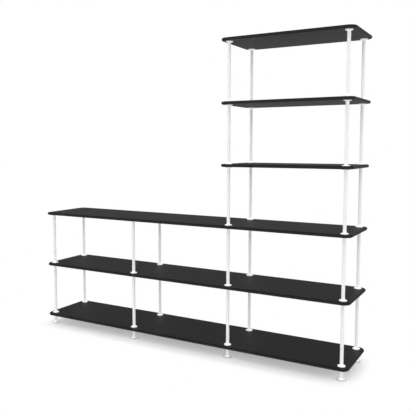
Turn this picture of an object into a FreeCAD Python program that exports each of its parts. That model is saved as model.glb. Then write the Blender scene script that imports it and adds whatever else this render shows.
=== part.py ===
"""Open shelving unit: six black boards on white tube posts, three bays long with a tower over the last bay.

Each post is a stack of tubes. At every board a threaded nipple passes through the board and screws into
the tube above and the tube below, so that the two collars clamp the board between them.
At the top of a post the nipple screws into a bush let into the underside of the board.
Each post stands on a short foot with a glide that screws in and out to level the unit.

Millimetres, +Z up, front towards -Y. The origin is on the floor, under the middle of the plan.
"""
import FreeCAD, Part
import os
from string import ascii_lowercase

from FreeCAD import Vector

# Driving dimensions of the whole unit
OVERALL_WIDTH = 2038.0
OVERALL_DEPTH = 384.0
FOOT_HEIGHT = 55.0
SHELF_PITCH = 343.0
BAYS = 3
LOW_LEVELS = 2
TOWER_LEVELS = 3

# Boards
SHELF_THICKNESS = 16.0
SHELF_CORNER_RADIUS = 40.0
SHELF_EDGE_LAND = 2.0
POST_INSET = 42.0

# Posts
TUBE_DIAMETER = 18.0
TUBE_WALL = 2.0
COLLAR_DIAMETER = 40.0
COLLAR_THICKNESS = 4.0
COLLAR_CHAMFER = 0.8

# Screwed joints
NIPPLE_GRIP = 16.0
THREAD_PLAY = 0.05
HOLE_PLAY = 0.25
BORE_RELIEF = 1.0
BUSH_WALL = 2.0
BUSH_PLAY = 0.05
BUSH_ROOF = 4.0

# Feet
FOOT_WEB = 3.0
GLIDE_DIAMETER = 40.0
GLIDE_THICKNESS = 5.0
GLIDE_CHAMFER = 1.0
GLIDE_STEM_DIAMETER = 8.0

# Sizes that follow from the driving dimensions
BAY_PITCH = (OVERALL_WIDTH - 2 * POST_INSET) / BAYS
TUBE_LENGTH = SHELF_PITCH - SHELF_THICKNESS - 2 * COLLAR_THICKNESS
TUBE_BORE = TUBE_DIAMETER - 2 * TUBE_WALL
NIPPLE_DIAMETER = TUBE_BORE - 2 * THREAD_PLAY
CLEARANCE_HOLE = NIPPLE_DIAMETER + 2 * HOLE_PLAY
BUSH_DIAMETER = TUBE_BORE + 2 * BUSH_WALL
BUSH_HEIGHT = SHELF_THICKNESS - BUSH_ROOF
SHELF_EDGE_RADIUS = (SHELF_THICKNESS - SHELF_EDGE_LAND) / 2
FOOT_STEM_HEIGHT = FOOT_HEIGHT - COLLAR_THICKNESS - GLIDE_THICKNESS
FOOT_NIPPLE_BORE = NIPPLE_GRIP + BORE_RELIEF
FOOT_GLIDE_BORE = FOOT_STEM_HEIGHT - FOOT_NIPPLE_BORE - FOOT_WEB
GLIDE_STEM_LENGTH = FOOT_GLIDE_BORE - BORE_RELIEF

LEVELS = LOW_LEVELS + TOWER_LEVELS
COLUMNS = ascii_lowercase[: BAYS + 1]
TOWER_COLUMNS = COLUMNS[-2:]
ROWS = {"front": -1, "back": 1}


def shelf_name(level):
    """Name of the board on a level: the long boards and the tower's boards are each counted from 1."""
    return f"long_shelf_{level + 1}" if level <= LOW_LEVELS else f"tower_shelf_{level - LOW_LEVELS}"


def shelf_underside(level):
    """Height of the underside of the board on a level, counted from 0 at the bottom."""
    return FOOT_HEIGHT + level * SHELF_PITCH


def shelf_columns(level):
    """Letters of the posts that a board rests on."""
    return COLUMNS if level <= LOW_LEVELS else TOWER_COLUMNS


def post_top(column):
    """Level of the board that ends a post."""
    return LEVELS if column in TOWER_COLUMNS else LOW_LEVELS


def post_axis(row, column, z=0.0):
    """Point on a post's axis at height z."""
    x = -OVERALL_WIDTH / 2 + POST_INSET + COLUMNS.index(column) * BAY_PITCH
    y = ROWS[row] * (OVERALL_DEPTH / 2 - POST_INSET)
    return Vector(x, y, z)


def posts(level):
    """Row and column of every post that meets the board on a level."""
    return [(row, column) for row in ROWS for column in shelf_columns(level)]


def round_bar(diameter, height, base):
    """Upright cylinder standing on base."""
    return Part.makeCylinder(diameter / 2, height, base)


def round_sleeve(diameter, bore, height, base):
    """Upright cylinder with a hole right through it."""
    return round_bar(diameter, height, base).cut(round_bar(bore, height, base))


def turned(outline, axis):
    """Turned piece: an outline of (radius, height) points swept round an upright axis."""
    points = [Vector(radius, 0, height) for radius, height in outline]
    section = Part.Face(Part.makePolygon(points + points[:1]))
    return section.revolve(Vector(0, 0, 0), Vector(0, 0, 1), 360).translated(axis)


def rounded_plate(x_low, x_high, z_low):
    """Board blank: a rectangle with round corners in plan and rounded upper and lower edges."""
    depth = OVERALL_DEPTH
    plate = Part.makeBox(x_high - x_low, depth, SHELF_THICKNESS, Vector(x_low, -depth / 2, z_low))
    corners = [edge for edge in plate.Edges if edge.Vertexes[0].X == edge.Vertexes[1].X
               and edge.Vertexes[0].Y == edge.Vertexes[1].Y]
    plate = plate.makeFillet(SHELF_CORNER_RADIUS, corners)
    rims = [edge for face in plate.Faces if abs(face.normalAt(0, 0).z) > 0.5 for edge in face.Edges]
    return plate.makeFillet(SHELF_EDGE_RADIUS, rims)


def make_shelf(level):
    """One board: a hole at each post that goes on above it, a blind pocket at each post that ends."""
    columns = shelf_columns(level)
    z = shelf_underside(level)
    x_low = post_axis("front", columns[0]).x - POST_INSET
    x_high = post_axis("front", columns[-1]).x + POST_INSET
    cutters = []
    for row, column in posts(level):
        base = post_axis(row, column, z)
        if post_top(column) == level:
            cutters.append(round_bar(BUSH_DIAMETER + 2 * BUSH_PLAY, BUSH_HEIGHT, base))
        else:
            cutters.append(round_bar(CLEARANCE_HOLE, SHELF_THICKNESS, base))
    return rounded_plate(x_low, x_high, z).cut(cutters)


def make_tube(row, column, level):
    """The tube that stands on the board of a level, between its two collars."""
    base = post_axis(row, column, shelf_underside(level) + SHELF_THICKNESS + COLLAR_THICKNESS)
    return round_sleeve(TUBE_DIAMETER, TUBE_BORE, TUBE_LENGTH, base)


def make_collar(axis, board_face, away):
    """One collar on a board's face, chamfered on its far side: away is 1 upwards and -1 downwards."""
    hole = CLEARANCE_HOLE / 2
    rim = COLLAR_DIAMETER / 2
    outline = [(hole, 0), (rim, 0), (rim, COLLAR_THICKNESS - COLLAR_CHAMFER),
               (rim - COLLAR_CHAMFER, COLLAR_THICKNESS), (hole, COLLAR_THICKNESS)]
    return turned([(radius, board_face + away * height) for radius, height in outline], axis)


def make_collars(level):
    """The collars that clamp one board: one under it at every post, one over it where the post goes on."""
    collars = []
    for row, column in posts(level):
        axis = post_axis(row, column)
        collars.append(make_collar(axis, shelf_underside(level), -1))
        if post_top(column) > level:
            collars.append(make_collar(axis, shelf_underside(level) + SHELF_THICKNESS, 1))
    return Part.makeCompound(collars)


def nipple_start(level):
    """Height of a nipple's lower end, inside the tube or foot under the board."""
    return shelf_underside(level) - COLLAR_THICKNESS - NIPPLE_GRIP


def make_joining_nipples():
    """Nipples that pass through a board and join the tube above it to the tube or foot below it."""
    length = SHELF_THICKNESS + 2 * COLLAR_THICKNESS + 2 * NIPPLE_GRIP
    return Part.makeCompound([
        round_bar(NIPPLE_DIAMETER, length, post_axis(row, column, nipple_start(level)))
        for level in range(LEVELS) for row, column in posts(level) if post_top(column) > level])


def post_ends():
    """Row, column and level of every board joint that ends a post."""
    return [(row, column, post_top(column)) for row in ROWS for column in COLUMNS]


def make_top_nipples():
    """Nipples that end a post: each screws up into its bush as far as the roof of the pocket."""
    length = NIPPLE_GRIP + COLLAR_THICKNESS + BUSH_HEIGHT
    return Part.makeCompound([
        round_bar(NIPPLE_DIAMETER, length, post_axis(row, column, nipple_start(level)))
        for row, column, level in post_ends()])


def make_bushes():
    """Threaded bushes let into the underside of the boards that end a post."""
    return Part.makeCompound([
        round_sleeve(BUSH_DIAMETER, TUBE_BORE, BUSH_HEIGHT, post_axis(row, column, shelf_underside(level)))
        for row, column, level in post_ends()])


def make_foot_stem(row, column):
    """Turned foot with a threaded hole at the top for the nipple and one at the bottom for the glide."""
    base = post_axis(row, column, GLIDE_THICKNESS)
    stem = round_bar(TUBE_DIAMETER, FOOT_STEM_HEIGHT, base)
    nipple_base = base + Vector(0, 0, FOOT_STEM_HEIGHT - FOOT_NIPPLE_BORE)
    glide_bore = GLIDE_STEM_DIAMETER + 2 * THREAD_PLAY
    return stem.cut([round_bar(TUBE_BORE, FOOT_NIPPLE_BORE, nipple_base),
                     round_bar(glide_bore, FOOT_GLIDE_BORE, base)])


def make_foot_glide(row, column):
    """Levelling glide: a floor disc with chamfered rims, turned in one piece with its threaded stem."""
    rim = GLIDE_DIAMETER / 2
    stem = GLIDE_STEM_DIAMETER / 2
    top = GLIDE_THICKNESS + GLIDE_STEM_LENGTH
    outline = [(0, 0), (rim - GLIDE_CHAMFER, 0), (rim, GLIDE_CHAMFER),
               (rim, GLIDE_THICKNESS - GLIDE_CHAMFER), (rim - GLIDE_CHAMFER, GLIDE_THICKNESS),
               (stem, GLIDE_THICKNESS), (stem, top), (0, top)]
    return turned(outline, post_axis(row, column))


def make_parts():
    """Every piece of the unit by its name."""
    parts = {}
    for level in range(LEVELS + 1):
        parts[shelf_name(level)] = make_shelf(level)
        parts[f"collars_{shelf_name(level)}"] = make_collars(level)
    for row in ROWS:
        for column in COLUMNS:
            parts[f"foot_stem_{row}_{column}"] = make_foot_stem(row, column)
            parts[f"foot_glide_{row}_{column}"] = make_foot_glide(row, column)
            for level in range(post_top(column)):
                parts[f"tube_{level + 1}_{row}_{column}"] = make_tube(row, column, level)
    parts["joining_nipples"] = make_joining_nipples()
    parts["top_nipples"] = make_top_nipples()
    parts["threaded_bushes"] = make_bushes()
    return parts


os.makedirs("parts", exist_ok=True)
for part_name, part_shape in make_parts().items():
    part_shape.exportStep(f"parts/{part_name}.step")
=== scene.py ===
"""Dresses an open shelving unit: black lacquered boards on white coated tube posts with disc collars."""
import math

import bmesh
import bpy
from bpy.props import FloatProperty, FloatVectorProperty, IntProperty, PointerProperty
from mathutils import Euler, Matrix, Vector


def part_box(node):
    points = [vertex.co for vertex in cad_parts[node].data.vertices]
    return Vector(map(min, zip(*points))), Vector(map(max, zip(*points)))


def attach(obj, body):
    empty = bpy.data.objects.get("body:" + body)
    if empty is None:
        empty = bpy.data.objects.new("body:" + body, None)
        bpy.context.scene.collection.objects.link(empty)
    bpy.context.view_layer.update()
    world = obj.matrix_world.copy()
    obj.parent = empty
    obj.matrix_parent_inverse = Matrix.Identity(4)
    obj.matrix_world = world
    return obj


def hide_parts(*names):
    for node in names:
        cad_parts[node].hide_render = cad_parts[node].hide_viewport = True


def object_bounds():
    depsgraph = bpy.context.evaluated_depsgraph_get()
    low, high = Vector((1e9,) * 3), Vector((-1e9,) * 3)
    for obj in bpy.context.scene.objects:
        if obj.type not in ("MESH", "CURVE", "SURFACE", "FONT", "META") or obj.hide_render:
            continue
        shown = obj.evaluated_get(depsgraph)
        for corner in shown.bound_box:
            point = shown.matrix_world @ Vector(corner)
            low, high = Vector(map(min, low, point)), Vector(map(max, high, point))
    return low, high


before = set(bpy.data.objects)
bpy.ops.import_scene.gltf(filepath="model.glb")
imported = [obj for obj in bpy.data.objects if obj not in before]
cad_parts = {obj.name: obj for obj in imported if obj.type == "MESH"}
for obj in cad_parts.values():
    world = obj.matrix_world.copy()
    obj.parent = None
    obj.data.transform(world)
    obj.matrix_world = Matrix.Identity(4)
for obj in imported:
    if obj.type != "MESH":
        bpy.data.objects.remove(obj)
CAD_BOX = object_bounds()

bl_info = {
    "name": "Tube and Board Shelving",
    "version": (1, 0, 0),
    "blender": (4, 5, 0),
    "location": "View3D > Sidebar > Shelving",
    "description": "Builds the boards, posts and feet of an open shelving unit around its frame",
    "category": "Add Mesh",
}

# The body that carries all but the glides, and the glide that the floor stays under
BODY = "frame"
FLOOR_BODY = "glide_front_d"

MM = 0.001

# Fineness of the meshes
CORNER_STEPS = 20
EDGE_STEPS = 8
RIM_STEPS = 6
HOLE_SIDES = 48
SCREW_SIDES = 32
STEPS_PER_TURN = 8
SHARP_ANGLE = math.radians(35)

# Uprights whose axes are closer in plan than this belong to one post
SAME_POST = 1 * MM

# Turns in which a glide's thread runs out at the floor disc and at its tip
DISC_RUN_OUT = 1.0
TIP_RUN_OUT = 0.25

# Lacquer: its clouds, orange peel and rubbed streaks, and what they change
CLOUD_WIDTH = 180 * MM
CLOUD_TONES = (0.9, 1.12)
PEEL_WIDTH = 2.8 * MM
PEEL_HEIGHT = 0.2 * MM
PEEL_STRENGTH = 0.06
STREAK_WIDTH = 30 * MM
STREAK_STRETCH = (0.25, 1, 1)
STREAK_SHEEN = 0.08

# Powder coat: its mottling and pebbles, and what they change
MOTTLE_WIDTH = 60 * MM
MOTTLE_TONES = (0.985, 1)
PEBBLE_WIDTH = 1.1 * MM
PEBBLE_HEIGHT = 0.1 * MM
PEBBLE_STRENGTH = 0.10
PEBBLE_SHEEN = 0.06

# Turned metal: the rings that the tool left, and what they change
RING_WIDTH = 0.4 * MM
RING_STRETCH = (0.02, 0.02, 1)
RING_TONES = (0.88, 1)
RING_HEIGHT = 0.1 * MM
RING_STRENGTH = 0.15
RING_SHEEN = 0.10

# Places of a Mix node's sockets for colours, which its other sockets share their names with
MIX_FACTOR, MIX_FIRST, MIX_SECOND = 0, 6, 7
MIX_RESULT = 2

# Reach of the floor and of the camera in metres, and the width of the camera's sensor in millimetres
FLOOR_REACH = 30.0
CAMERA_REACH = 100.0
SENSOR_WIDTH = 36.0


def nodes_named(*beginnings):
    """The frame's nodes whose names have one of these beginnings."""
    names = sorted(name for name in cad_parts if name.startswith(beginnings))
    if not names:
        raise RuntimeError(f"The frame has no node whose name begins with {' or '.join(beginnings)}")
    return names


SHELVES = sorted(nodes_named("long_shelf_", "tower_shelf_"), key=lambda name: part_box(name)[0].z)
TUBES = nodes_named("tube_")
STEMS = nodes_named("foot_stem_")
GLIDES = nodes_named("foot_glide_")


def axis_of(node):
    """Place in plan of the axis of an upright round piece."""
    low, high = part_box(node)
    return (low.x + high.x) / 2, (low.y + high.y) / 2


def uprights_under(level):
    """The tubes or foot stems that reach up to the board on a level."""
    return STEMS if level == 0 else [name for name in TUBES if name.startswith(f"tube_{level}_")]


def uprights_over(level):
    """The tubes that stand on the board on a level."""
    return [name for name in TUBES if name.startswith(f"tube_{level + 1}_")]


class BoardSettings(bpy.types.PropertyGroup):
    """Form and finish of the boards."""
    corner_radius: FloatProperty(
        name="Corner radius", description="Radius of a board's corners in plan",
        default=40 * MM, unit="LENGTH")
    edge_land: FloatProperty(
        name="Edge land", description="Height of the flat between the upper and lower edge rounding",
        default=2 * MM, unit="LENGTH")
    hole_diameter: FloatProperty(
        name="Hole", description="Diameter of the hole where a post goes on through the board",
        default=14.4 * MM, unit="LENGTH")
    pocket_diameter: FloatProperty(
        name="Pocket", description="Diameter of the pocket where a post ends under the board",
        default=18.1 * MM, unit="LENGTH")
    pocket_roof: FloatProperty(
        name="Pocket roof", description="Thickness of board left over a pocket",
        default=4 * MM, unit="LENGTH")
    colour: FloatVectorProperty(
        name="Lacquer", description="Colour of the black lacquer",
        default=(0.0060, 0.0060, 0.0063), size=3, subtype="COLOR", min=0, max=1)
    roughness: FloatProperty(
        name="Roughness", description="Mean roughness of the satin lacquer",
        default=0.54, min=0, max=1, subtype="FACTOR")
    shine: FloatProperty(
        name="Shine", description="Specular level of the lacquer",
        default=0.55, min=0, max=1, subtype="FACTOR")


class PostSettings(bpy.types.PropertyGroup):
    """Form and finish of the tubes, collars and feet."""
    tube_wall: FloatProperty(
        name="Tube wall", description="Wall thickness of a tube",
        default=2 * MM, unit="LENGTH")
    chamfer: FloatProperty(
        name="Chamfer", description="Chamfer at the ends of the tubes and on the flat side of the discs",
        default=0.4 * MM, unit="LENGTH")
    collar_diameter: FloatProperty(
        name="Collar", description="Diameter of a collar",
        default=40 * MM, unit="LENGTH")
    collar_rim: FloatProperty(
        name="Collar rim", description="Rounding of a collar's rim on the side away from the board",
        default=1.2 * MM, unit="LENGTH")
    round_steps: IntProperty(
        name="Round steps", description="Number of sides that stand for a full circle",
        default=64, min=12)
    colour: FloatVectorProperty(
        name="Coat", description="Colour of the white powder coat",
        default=(0.86, 0.86, 0.855), size=3, subtype="COLOR", min=0, max=1)
    # Painted shade: this grey on the lowest millimetres of the glide discs stands for their contact shadow
    # on the floor.
    painted_foot_shade: FloatVectorProperty(
        name="Scuff", description="Colour of the scuffed coat where a glide meets the floor",
        default=(0.4, 0.4, 0.4), size=3, subtype="COLOR", min=0, max=1)
    # Painted shade: the heights over which the painted contact shadow fades into the clean coat.
    painted_foot_shade_span: FloatVectorProperty(
        name="Scuff span", description="Heights between which the scuffed coat gives way to the clean coat",
        default=(0.5 * MM, 3 * MM), size=2, unit="LENGTH")
    roughness: FloatProperty(
        name="Roughness", description="Mean roughness of the powder coat",
        default=0.45, min=0, max=1, subtype="FACTOR")
    shine: FloatProperty(
        name="Shine", description="Specular level of the powder coat",
        default=0.35, min=0, max=1, subtype="FACTOR")


class FootSettings(bpy.types.PropertyGroup):
    """Form of the feet and their levelling glides."""
    nipple_bore: FloatProperty(
        name="Nipple bore", description="Depth of the threaded hole at the top of a foot",
        default=17 * MM, unit="LENGTH")
    web: FloatProperty(
        name="Web", description="Solid left between the two holes of a foot",
        default=3 * MM, unit="LENGTH")
    disc_thickness: FloatProperty(
        name="Glide disc", description="Thickness of a glide's floor disc",
        default=5 * MM, unit="LENGTH")
    disc_rim: FloatProperty(
        name="Disc rim", description="Rounding of the floor disc's upper rim",
        default=1.2 * MM, unit="LENGTH")
    thread_diameter: FloatProperty(
        name="Thread", description="Outer diameter of a glide's thread",
        default=8 * MM, unit="LENGTH")
    thread_pitch: FloatProperty(
        name="Thread pitch", description="Rise of the thread in one turn",
        default=1.25 * MM, unit="LENGTH")
    thread_depth: FloatProperty(
        name="Thread depth", description="Depth of the thread's groove",
        default=0.7 * MM, unit="LENGTH")
    thread_play: FloatProperty(
        name="Thread play", description="Gap between the thread and the wall of its hole",
        default=0.05 * MM, unit="LENGTH")


class JointSettings(bpy.types.PropertyGroup):
    """Finish of the metal pieces inside the joints."""
    zinc: FloatVectorProperty(
        name="Zinc", description="Colour of the zinc plate on the nipples",
        default=(0.62, 0.62, 0.63), size=3, subtype="COLOR", min=0, max=1)
    zinc_roughness: FloatProperty(
        name="Zinc roughness", description="Mean roughness of the zinc plate",
        default=0.38, min=0, max=1, subtype="FACTOR")
    brass: FloatVectorProperty(
        name="Brass", description="Colour of the turned brass of the bushes",
        default=(0.72, 0.56, 0.28), size=3, subtype="COLOR", min=0, max=1)
    brass_roughness: FloatProperty(
        name="Brass roughness", description="Mean roughness of the turned brass",
        default=0.32, min=0, max=1, subtype="FACTOR")


class StageSettings(bpy.types.PropertyGroup):
    """Camera, light and floor."""
    camera_place: FloatVectorProperty(
        name="Camera place", description="Where the camera stands",
        default=(1.7505, -3.0615, 1.1965), size=3, subtype="TRANSLATION", unit="LENGTH")
    camera_heading: FloatProperty(
        name="Heading", description="Turn of the camera about the vertical, from looking straight back",
        default=math.radians(30.281), subtype="ANGLE")
    camera_dip: FloatProperty(
        name="Dip", description="Angle that the camera looks down by",
        default=math.radians(4.832), subtype="ANGLE")
    lens: FloatProperty(
        name="Lens", description="Focal length of the camera in millimetres",
        default=50.276, min=1, unit="CAMERA")
    shift: FloatVectorProperty(
        name="Shift", description="Shift of the picture across and up, in picture widths",
        default=(0.0530, -0.0296), size=2)
    sky: FloatProperty(
        name="Sky", description="Strength of the soft light of the sky",
        default=0.75, min=0)
    sky_span: FloatVectorProperty(
        name="Sky span", description="Heights, as sines, between which the light of the sky sets in",
        default=(0.0, 0.3), size=2)
    ceiling: FloatProperty(
        name="Ceiling", description="Brightness of the studio overhead, as reflections show it",
        default=0.02, min=0, max=1, subtype="FACTOR")
    ceiling_span: FloatVectorProperty(
        name="Ceiling span",
        description="Heights, as sines, between which the walls give way to the ceiling",
        default=(0.22, 0.5), size=2)
    back_wall: FloatProperty(
        name="Back wall", description="Brightness of the studio behind the unit, as reflections show it",
        default=0.52, min=0, max=1, subtype="FACTOR")
    back_span: FloatVectorProperty(
        name="Back span",
        description="Depths, as sines, between which the front wall gives way to the back wall",
        default=(-0.7, 0.1), size=2)
    floor_shade: FloatProperty(
        name="Floor shade", description="Share of the light on the floor that is seen directly",
        default=0.78, min=0, max=1, subtype="FACTOR")
    floor_bounce: FloatProperty(
        name="Floor bounce", description="Share of the light on the floor that lights the unit from below",
        default=0.15, min=0, max=1, subtype="FACTOR")
    floor_mirror: FloatProperty(
        name="Floor mirror", description="Brightness of the floor, as reflections show it",
        default=0.40, min=0, max=1, subtype="FACTOR")
    floor_fade: FloatVectorProperty(
        name="Floor fade",
        description="Lengths across and in depth in which the floor turns white outside the unit's outline",
        default=(0.065, 0.103), size=2, unit="LENGTH")
    contact_reach: FloatProperty(
        name="Contact reach", description="Length within which the floor is darkened by what stands on it",
        default=50 * MM, unit="LENGTH")
    contact_span: FloatVectorProperty(
        name="Contact span", description="Shares of open air between which the floor clears from black",
        default=(0.4, 1.0), size=2)
    fill_above: FloatProperty(
        name="Fill above", description="Strength of the even light from above",
        default=1.4, min=0)
    fill_below: FloatProperty(
        name="Fill below", description="Strength of the even light from below",
        default=3.0, min=0)
    fill_round: FloatProperty(
        name="Fill round", description="Strength of each of the even lights that stand round the unit",
        default=1.25, min=0)
    fill_count: IntProperty(
        name="Fill count", description="Number of the even lights that stand round the unit",
        default=6, min=1)
    fill_spread: FloatProperty(
        name="Fill spread", description="Angle that each even light spreads over",
        default=math.radians(60), subtype="ANGLE")


class Value:
    """A number that varies over a surface: a shader socket that arithmetic can be written with."""

    def __init__(self, finish, socket):
        self.finish = finish
        self.socket = socket

    def _math(self, operation, first, second):
        """Adds a Math node."""
        return self.finish.node("ShaderNodeMath", {"operation": operation}, {0: first, 1: second})

    def __add__(self, other):
        return self._math("ADD", self, other)

    def __radd__(self, other):
        return self._math("ADD", other, self)

    def __sub__(self, other):
        return self._math("SUBTRACT", self, other)

    def __rsub__(self, other):
        return self._math("SUBTRACT", other, self)

    def __mul__(self, other):
        return self._math("MULTIPLY", self, other)

    def __rmul__(self, other):
        return self._math("MULTIPLY", other, self)


class Finish:
    """The node tree of a material or a world under construction."""

    def __init__(self, owner):
        owner.use_nodes = True
        self.tree = owner.node_tree
        self.tree.nodes.clear()

    def node(self, kind, settings=None, sockets=None, output=0):
        """Adds a node, sets its settings, then fills or links its sockets. Returns one of its outputs."""
        made = self.tree.nodes.new(kind)
        for name, value in (settings or {}).items():
            setattr(made, name, value)
        for name, value in (sockets or {}).items():
            if isinstance(value, Value):
                self.tree.links.new(value.socket, made.inputs[name])
            else:
                made.inputs[name].default_value = value
        return Value(self, made.outputs[output]) if len(made.outputs) else None

    def place(self):
        """The point on the surface, measured from the piece's own origin."""
        return self.node("ShaderNodeTexCoord", output="Object")

    def part(self, vector, axis):
        """One of a vector's three numbers."""
        return self.node("ShaderNodeSeparateXYZ", {}, {0: vector}, output=axis)

    def vector(self, operation, *vectors, output="Vector"):
        """Arithmetic on vectors."""
        return self.node("ShaderNodeVectorMath", {"operation": operation}, dict(enumerate(vectors)), output)

    def noise(self, width, detail, stretch=(1, 1, 1)):
        """Noise from 0 to 1 whose lumps are about width metres across, divided by the stretch."""
        scaled = self.vector("MULTIPLY", self.place(), [factor / width for factor in stretch])
        return self.node("ShaderNodeTexNoise", {"noise_dimensions": "3D"},
                         {"Vector": scaled, "Scale": 1.0, "Detail": detail}, output="Fac")

    def ease(self, value, span, start=0.0, end=1.0):
        """Goes smoothly from start to end while a value crosses a span."""
        return self.node("ShaderNodeMapRange", {"interpolation_type": "SMOOTHSTEP"},
                         {"Value": value, "From Min": span[0], "From Max": span[1],
                          "To Min": start, "To Max": end})

    def blend(self, factor, first, second):
        """Mixes two colours, each given plainly or as the outcome of another mix."""
        first, second = (colour if isinstance(colour, Value) else (*colour, 1)
                         for colour in (first, second))
        return self.node("ShaderNodeMix", {"data_type": "RGBA"},
                         {MIX_FACTOR: factor, MIX_FIRST: first, MIX_SECOND: second}, output=MIX_RESULT)

    def tones(self, factor, colour, shares):
        """A colour that varies between two shares of its brightness."""
        return self.blend(factor, *([channel * share for channel in colour] for share in shares))

    def relief(self, marks, height, strength):
        """The tilt of a surface that marks raise by up to a height."""
        return self.node("ShaderNodeBump", {}, {"Strength": strength, "Distance": height, "Height": marks})

    def mix(self, factor, first, second):
        """Mixes two shaders."""
        return self.node("ShaderNodeMixShader", {}, {0: factor, 1: first, 2: second})

    def matt(self, share):
        """A matt surface that throws back a share of the light."""
        return self.node("ShaderNodeBsdfDiffuse", {}, {"Color": grey(share)})

    def glow(self, kind, strength):
        """White light of its own: Emission on a surface and Background in the sky."""
        return self.node(f"ShaderNode{kind}", {}, {"Color": grey(1), "Strength": strength})

    def ray(self, kind):
        """1 where light is followed along that kind of ray, and 0 elsewhere."""
        return self.node("ShaderNodeLightPath", output=f"Is {kind} Ray")

    def looked_at(self):
        """1 where the camera looks, also through glass, and 0 elsewhere."""
        return self.ray("Camera") + self.ray("Transmission")

    def surface(self, sockets):
        """Ends a material with a Principled shader."""
        shader = self.node("ShaderNodeBsdfPrincipled", {}, sockets, output="BSDF")
        self.node("ShaderNodeOutputMaterial", {}, {"Surface": shader})


def grey(level):
    """A colour without hue, as a shader's socket takes it."""
    return level, level, level, 1


def board_lacquer(settings):
    """Satin black lacquer: even black with faint clouds, fine orange peel and a slightly uneven sheen."""
    material = bpy.data.materials.new("satin_black_lacquer")
    finish = Finish(material)
    clouds = finish.noise(CLOUD_WIDTH, detail=3.0)
    peel = finish.noise(PEEL_WIDTH, detail=1.0)
    streaks = finish.noise(STREAK_WIDTH, detail=4.0, stretch=STREAK_STRETCH)
    finish.surface({"Base Color": finish.tones(clouds, settings.colour, CLOUD_TONES),
                    "Roughness": settings.roughness + STREAK_SHEEN * (streaks - 0.5),
                    "Specular IOR Level": settings.shine,
                    "Normal": finish.relief(peel, PEEL_HEIGHT, PEEL_STRENGTH)})
    return material


def powder_coat(settings):
    """Satin white powder coat with a fine pebbled skin, and painted grey shade at the foot of the glide
    discs where they meet the floor.
    """
    material = bpy.data.materials.new("white_powder_coat")
    finish = Finish(material)
    mottling = finish.noise(MOTTLE_WIDTH, detail=2.0)
    pebbles = finish.noise(PEBBLE_WIDTH, detail=1.5)
    clean = finish.tones(mottling, settings.colour, MOTTLE_TONES)
    # Painted shade: below these heights the coat turns grey, as the glide discs' contact shadow.
    above_painted_foot_shade = finish.ease(finish.part(finish.place(), "Z"), settings.painted_foot_shade_span)
    finish.surface({"Base Color": finish.blend(above_painted_foot_shade, settings.painted_foot_shade, clean),
                    "Roughness": settings.roughness + PEBBLE_SHEEN * (pebbles - 0.5),
                    "Specular IOR Level": settings.shine,
                    "Normal": finish.relief(pebbles, PEBBLE_HEIGHT, PEBBLE_STRENGTH)})
    return material


def turned_metal(name, colour, roughness):
    """Bare turned metal with fine rings round the vertical axis."""
    material = bpy.data.materials.new(name)
    finish = Finish(material)
    rings = finish.noise(RING_WIDTH, detail=2.0, stretch=RING_STRETCH)
    finish.surface({"Base Color": finish.tones(rings, colour, RING_TONES), "Metallic": 1.0,
                    "Roughness": roughness + RING_SHEEN * (rings - 0.5),
                    "Normal": finish.relief(rings, RING_HEIGHT, RING_STRENGTH)})
    return material


def lacquered(settings):
    """The boards' lacquer, made the first time it is asked for."""
    return bpy.data.materials.get("satin_black_lacquer") or board_lacquer(settings)


def coated(settings):
    """The posts' powder coat, made the first time it is asked for."""
    return bpy.data.materials.get("white_powder_coat") or powder_coat(settings)


def circle(radius, steps, centre=(0, 0)):
    """Points of a circle in plan."""
    return [(centre[0] + radius * math.cos(2 * math.pi * step / steps),
             centre[1] + radius * math.sin(2 * math.pi * step / steps)) for step in range(steps)]


def quarter_round(radius, start, steps):
    """Points of a quarter circle about the origin, from the start angle in degrees, turning left."""
    return [(radius * math.cos(math.radians(start + 90 * step / steps)),
             radius * math.sin(math.radians(start + 90 * step / steps))) for step in range(steps + 1)]


def rounded_rectangle(low, high, radius, steps):
    """Points of a rectangle with round corners in plan."""
    corners = [(high.x - radius, low.y + radius, -90), (high.x - radius, high.y - radius, 0),
               (low.x + radius, high.y - radius, 90), (low.x + radius, low.y + radius, 180)]
    return [(x + dx, y + dy) for x, y, start in corners for dx, dy in quarter_round(radius, start, steps)]


def add_ring(bm, points, height):
    """Vertices of a closed ring at one height."""
    return [bm.verts.new((x, y, height)) for x, y in points]


def join_rings(bm, first, second):
    """A band of faces between two rings of as many points."""
    count = len(first)
    for index in range(count):
        after = (index + 1) % count
        bm.faces.new((first[index], first[after], second[after], second[index]))


def join_stack(bm, rings):
    """Bands between each ring and the next."""
    for first, second in zip(rings, rings[1:]):
        join_rings(bm, first, second)


def fill_flat(bm, outline, holes):
    """Fills the flat face inside a ring, around the holes in it."""
    edges = [bm.edges.get(pair) for ring in (outline, *holes) for pair in zip(ring, ring[1:] + ring[:1])]
    bmesh.ops.triangle_fill(bm, use_beauty=True, edges=edges)


def turned_rings(bm, centre, outline, steps):
    """Turned surface: the outline of (radius, height) points, swept round a vertical axis."""
    rings = [add_ring(bm, circle(radius, steps, centre), height) for radius, height in outline]
    join_stack(bm, rings)
    return rings


def turned_sleeve(bm, centre, outline, steps):
    """Turned piece with a hole right through it: the outline closes on itself."""
    rings = turned_rings(bm, centre, outline, steps)
    join_rings(bm, rings[-1], rings[0])


def new_piece(name, bm, material, nodes, body=BODY):
    """Turns a finished bmesh into a piece that rides on a body and stands for nodes of the frame."""
    bmesh.ops.recalc_face_normals(bm, faces=bm.faces)
    mesh = bpy.data.meshes.new(name)
    bm.to_mesh(mesh)
    bm.free()
    mesh.shade_smooth()
    mesh.set_sharp_from_angle(angle=SHARP_ANGLE)
    mesh.materials.append(material)
    piece = bpy.data.objects.new(name, mesh)
    bpy.context.scene.collection.objects.link(piece)
    modifier = piece.modifiers.new("even_faces", "WEIGHTED_NORMAL")
    modifier.keep_sharp = True
    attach(piece, body)
    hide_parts(*nodes)


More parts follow.
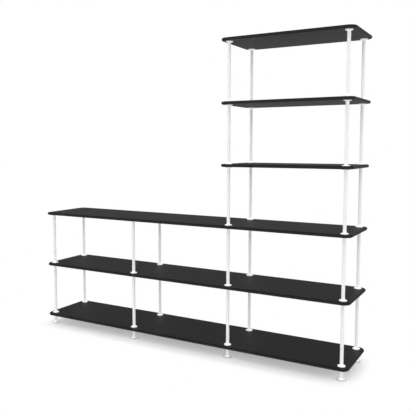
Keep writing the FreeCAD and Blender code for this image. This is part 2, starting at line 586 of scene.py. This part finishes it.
def make_board(settings, level):
    """One board: round corners and edges, a hole where a post goes on and a pocket where one ends."""
    name = SHELVES[level]
    low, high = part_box(name)
    rounding = (high.z - low.z - settings.edge_land) / 2
    lower = [(rounding - dx, low.z + rounding + dz) for dx, dz in quarter_round(rounding, -90, EDGE_STEPS)]
    upper = [(rounding - dx, high.z - rounding + dz) for dx, dz in quarter_round(rounding, 0, EDGE_STEPS)]
    bm = bmesh.new()
    rings = []
    for inset, height in lower + upper:
        margin = Vector((inset, inset, 0))
        corner = settings.corner_radius - inset
        outline = rounded_rectangle(low + margin, high - margin, corner, CORNER_STEPS)
        rings.append(add_ring(bm, outline, height))
    join_stack(bm, rings)
    mouths, exits = [], []
    over = [axis_of(node) for node in uprights_over(level)]
    for axis in [axis_of(node) for node in uprights_under(level)]:
        goes_on = any(math.dist(axis, other) < SAME_POST for other in over)
        diameter = settings.hole_diameter if goes_on else settings.pocket_diameter
        end = high.z if goes_on else high.z - settings.pocket_roof
        mouth, far_end = turned_rings(bm, axis, [(diameter / 2, low.z), (diameter / 2, end)], HOLE_SIDES)
        mouths.append(mouth)
        if goes_on:
            exits.append(far_end)
        else:
            bm.faces.new(far_end)
    fill_flat(bm, rings[0], mouths)
    fill_flat(bm, rings[-1], exits)
    new_piece(f"board_{name}", bm, lacquered(settings), [name])


def make_tube(settings, name):
    """One hollow tube with chamfered ends."""
    low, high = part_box(name)
    outer = (high.x - low.x) / 2
    inner = outer - settings.tube_wall
    cut = settings.chamfer
    outline = [(inner, low.z), (outer - cut, low.z), (outer, low.z + cut),
               (outer, high.z - cut), (outer - cut, high.z), (inner, high.z)]
    bm = bmesh.new()
    turned_sleeve(bm, axis_of(name), outline, settings.round_steps)
    new_piece(f"post_{name}", bm, coated(settings), [name])


def make_collars(settings, boards, level):
    """The collars that clamp one board: plain discs with a soft rim on the side away from the board."""
    name = SHELVES[level]
    low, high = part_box(name)
    bm = bmesh.new()
    under = [(axis_of(node), low.z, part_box(node)[1].z) for node in uprights_under(level)]
    over = [(axis_of(node), high.z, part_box(node)[0].z) for node in uprights_over(level)]
    radius, hole, rim = settings.collar_diameter / 2, boards.hole_diameter / 2, settings.collar_rim
    for axis, at_board, away in under + over:
        side = 1 if away > at_board else -1
        soft = [(radius - rim + dx, away + side * (dz - rim))
                for dx, dz in quarter_round(rim, 0, RIM_STEPS)]
        outline = [(hole, at_board), (radius - settings.chamfer, at_board),
                   (radius, at_board + side * settings.chamfer), *soft, (hole, away)]
        turned_sleeve(bm, axis, outline, settings.round_steps)
    node = f"collars_{name}"
    new_piece(f"post_{node}", bm, coated(settings), [node])


def make_stem(settings, feet, name):
    """One turned foot with a threaded hole at each end."""
    low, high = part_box(name)
    outer = (high.x - low.x) / 2
    inner = outer - settings.tube_wall
    cut = settings.chamfer
    bore = feet.thread_diameter / 2 + feet.thread_play
    web_top = high.z - feet.nipple_bore
    outline = [(inner, web_top), (inner, high.z), (outer - cut, high.z), (outer, high.z - cut),
               (outer, low.z + cut), (outer - cut, low.z), (bore, low.z), (bore, web_top - feet.web)]
    bm = bmesh.new()
    rings = turned_rings(bm, axis_of(name), outline, settings.round_steps)
    bm.faces.new(rings[0])
    bm.faces.new(rings[-1])
    new_piece(f"post_{name}", bm, coated(settings), [name])


def screw_ring(bm, feet, centre, height, base, top):
    """One ring of a glide's thread: the ridge winds up round the stem and runs out at both ends."""
    turns = (height - base) / feet.thread_pitch
    turns_left = (top - height) / feet.thread_pitch
    fullness = min(1.0, turns / DISC_RUN_OUT, turns_left / TIP_RUN_OUT)
    points = []
    for step in range(SCREW_SIDES):
        turn = step / SCREW_SIDES
        phase = (turns - turn) % 1.0
        radius = feet.thread_diameter / 2 - feet.thread_depth * (1 - fullness * abs(2 * phase - 1))
        points.append((centre[0] + radius * math.cos(2 * math.pi * turn),
                       centre[1] + radius * math.sin(2 * math.pi * turn)))
    return add_ring(bm, points, height)


def make_glide(settings, feet, name):
    """One levelling glide: a floor disc with a soft upper rim and a threaded stem."""
    low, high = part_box(name)
    centre = axis_of(name)
    radius, rim = (high.x - low.x) / 2, feet.disc_rim
    disc_top = low.z + feet.disc_thickness
    soft = [(radius - rim + dx, disc_top - rim + dz) for dx, dz in quarter_round(rim, 0, RIM_STEPS)]
    outline = [(radius - settings.chamfer, low.z), (radius, low.z + settings.chamfer), *soft]
    bm = bmesh.new()
    disc = turned_rings(bm, centre, outline, settings.round_steps)
    bm.faces.new(disc[0])
    length = high.z - disc_top
    count = int(STEPS_PER_TURN * length / feet.thread_pitch)
    screw = [screw_ring(bm, feet, centre, disc_top + length * step / count, disc_top, high.z)
             for step in range(count + 1)]
    join_stack(bm, screw)
    fill_flat(bm, disc[-1], [screw[0]])
    bm.faces.new(screw[-1])
    body = name.replace("foot_glide_", "glide_")
    new_piece(f"level_{name}", bm, coated(settings), [name], body=body)


def make_floor(settings):
    """A wide pale floor that keeps the unit's shadow, turns white further out and stays under a glide."""
    mesh = bpy.data.meshes.new("floor")
    bm = bmesh.new()
    bmesh.ops.create_grid(bm, x_segments=1, y_segments=1, size=FLOOR_REACH)
    bm.to_mesh(mesh)
    bm.free()
    floor = bpy.data.objects.new("floor", mesh)
    floor.location.z = CAD_BOX[0].z
    bpy.context.scene.collection.objects.link(floor)
    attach(floor, FLOOR_BODY)
    material = bpy.data.materials.new("pale_floor")
    mesh.materials.append(material)
    finish = Finish(material)
    beyond = finish.vector("SUBTRACT", finish.vector("ABSOLUTE", finish.place()), CAD_BOX[1])
    outside = finish.vector("MAXIMUM", beyond, (0, 0, 0))
    shares = finish.vector("DIVIDE", outside, (*settings.floor_fade, 1))
    faded = finish.ease(finish.vector("LENGTH", shares, output="Value"), (0, 1))
    black = finish.glow("Emission", 0.0)
    bare = finish.mix(faded, finish.matt(settings.floor_shade), finish.glow("Emission", 1.0))
    mirrored = finish.mix(settings.floor_mirror, black, bare)
    unseen = finish.mix(finish.ray("Glossy"), finish.matt(settings.floor_bounce), mirrored)
    # Painted contact shadow: the floor darkens towards black where the ambient occlusion node finds parts
    # within reach.
    reach = {"Distance": settings.contact_reach}
    open_air = finish.node("ShaderNodeAmbientOcclusion", {}, reach, output="AO")
    seen = finish.mix(finish.ease(open_air, settings.contact_span), black, bare)
    finish.node("ShaderNodeOutputMaterial", {}, {"Surface": finish.mix(finish.looked_at(), unseen, seen)})


def make_sky(settings):
    """Soft light from all round and above, plain white to look at, with dim places in its reflections."""
    world = bpy.data.worlds.new("white_studio")
    bpy.context.scene.world = world
    finish = Finish(world)
    direction = finish.node("ShaderNodeTexCoord", output="Generated")
    depth = finish.part(direction, "Y")
    height = finish.part(direction, "Z")
    black = finish.glow("Background", 0.0)
    white = finish.glow("Background", 1.0)
    sky = finish.glow("Background", settings.sky)
    light = finish.mix(finish.ease(height, settings.sky_span), black, sky)
    walls = finish.ease(depth, settings.back_span, 1.0, settings.back_wall)
    studio = walls * finish.ease(height, settings.ceiling_span, 1.0, settings.ceiling)
    unseen = finish.mix(finish.ray("Glossy"), light, finish.mix(studio, black, white))
    finish.node("ShaderNodeOutputWorld", {}, {"Surface": finish.mix(finish.looked_at(), unseen, white)})


def make_fill(settings, name, strength, turn):
    """A broad even light that casts no shadow and leaves no highlight."""
    data = bpy.data.lights.new(name, "SUN")
    data.energy = strength
    data.angle = settings.fill_spread
    data.use_shadow = False
    lamp = bpy.data.objects.new(name, data)
    lamp.rotation_euler = Euler(turn)
    lamp.visible_camera = False
    lamp.visible_glossy = False
    bpy.context.scene.collection.objects.link(lamp)


def make_fills(settings):
    """Even light from above, from below and from all round."""
    make_fill(settings, "fill_above", settings.fill_above, (0, 0, 0))
    make_fill(settings, "fill_below", settings.fill_below, (math.pi, 0, 0))
    for step in range(settings.fill_count):
        heading = 2 * math.pi * step / settings.fill_count
        make_fill(settings, f"fill_round_{step + 1}", settings.fill_round, (math.pi / 2, 0, heading))


def make_camera(settings):
    """A camera at the photograph's viewing angle."""
    data = bpy.data.cameras.new("camera")
    data.sensor_width = SENSOR_WIDTH
    data.lens = settings.lens
    data.shift_x, data.shift_y = settings.shift
    data.clip_end = CAMERA_REACH
    camera = bpy.data.objects.new("camera", data)
    camera.location = settings.camera_place
    camera.rotation_euler = Euler((math.pi / 2 - settings.camera_dip, 0, settings.camera_heading))
    bpy.context.scene.collection.objects.link(camera)
    bpy.context.scene.camera = camera


class SHELVING_OT_boards(bpy.types.Operator):
    """Make the six boards"""
    bl_idname = "shelving.boards"
    bl_label = "Boards"

    def execute(self, context):
        for level in range(len(SHELVES)):
            make_board(context.scene.shelving_boards, level)
        return {"FINISHED"}


class SHELVING_OT_tubes(bpy.types.Operator):
    """Make the tubes of every post"""
    bl_idname = "shelving.tubes"
    bl_label = "Tubes"

    def execute(self, context):
        for name in TUBES:
            make_tube(context.scene.shelving_posts, name)
        return {"FINISHED"}


class SHELVING_OT_collars(bpy.types.Operator):
    """Make the collars above and below every board"""
    bl_idname = "shelving.collars"
    bl_label = "Collars"

    def execute(self, context):
        for level in range(len(SHELVES)):
            make_collars(context.scene.shelving_posts, context.scene.shelving_boards, level)
        return {"FINISHED"}


class SHELVING_OT_feet(bpy.types.Operator):
    """Make the feet and their levelling glides"""
    bl_idname = "shelving.feet"
    bl_label = "Feet and glides"

    def execute(self, context):
        for name in STEMS:
            make_stem(context.scene.shelving_posts, context.scene.shelving_feet, name)
        for name in GLIDES:
            make_glide(context.scene.shelving_posts, context.scene.shelving_feet, name)
        return {"FINISHED"}


class SHELVING_OT_joints(bpy.types.Operator):
    """Give the nipples and bushes inside the joints their metal finishes"""
    bl_idname = "shelving.joints"
    bl_label = "Inner joints"

    def execute(self, context):
        settings = context.scene.shelving_joints
        zinc = turned_metal("zinc_plate", settings.zinc, settings.zinc_roughness)
        brass = turned_metal("turned_brass", settings.brass, settings.brass_roughness)
        for name, metal in (("joining_nipples", zinc), ("top_nipples", zinc), ("threaded_bushes", brass)):
            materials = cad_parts[name].data.materials
            materials.clear()
            materials.append(metal)
        return {"FINISHED"}


class SHELVING_OT_stage(bpy.types.Operator):
    """Set up the floor, the light and the camera"""
    bl_idname = "shelving.stage"
    bl_label = "Stage"

    def execute(self, context):
        settings = context.scene.shelving_stage
        make_floor(settings)
        make_sky(settings)
        make_fills(settings)
        make_camera(settings)
        context.scene.view_settings.view_transform = "Standard"
        return {"FINISHED"}


class SHELVING_PT_panel(bpy.types.Panel):
    """Lists the pieces of the shelving unit and their settings"""
    bl_idname = "SHELVING_PT_panel"
    bl_label = "Shelving"
    bl_space_type = "VIEW_3D"
    bl_region_type = "UI"
    bl_category = "Shelving"

    def draw(self, context):
        for operator in OPERATORS:
            self.layout.operator(operator.bl_idname)
        for name in SETTINGS:
            box = self.layout.box()
            group = getattr(context.scene, name)
            for key in group.bl_rna.properties.keys():
                if key not in ("rna_type", "name"):
                    box.prop(group, key)


SETTINGS = {"shelving_boards": BoardSettings, "shelving_posts": PostSettings, "shelving_feet": FootSettings,
            "shelving_joints": JointSettings, "shelving_stage": StageSettings}
OPERATORS = (SHELVING_OT_stage, SHELVING_OT_boards, SHELVING_OT_tubes, SHELVING_OT_collars,
             SHELVING_OT_feet, SHELVING_OT_joints)
CLASSES = (*SETTINGS.values(), *OPERATORS, SHELVING_PT_panel)


def register():
    """Registers the classes and hangs the settings on the scene."""
    for cls in CLASSES:
        bpy.utils.register_class(cls)
    for name, cls in SETTINGS.items():
        setattr(bpy.types.Scene, name, PointerProperty(type=cls))


def unregister():
    """Takes the settings off the scene and unregisters the classes."""
    for name in SETTINGS:
        delattr(bpy.types.Scene, name)
    for cls in reversed(CLASSES):
        bpy.utils.unregister_class(cls)


def main():
    """Registers the add-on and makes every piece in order."""
    register()
    bpy.ops.shelving.stage()
    bpy.ops.shelving.boards()
    bpy.ops.shelving.tubes()
    bpy.ops.shelving.collars()
    bpy.ops.shelving.feet()
    bpy.ops.shelving.joints()


if __name__ == "__main__":
    main()
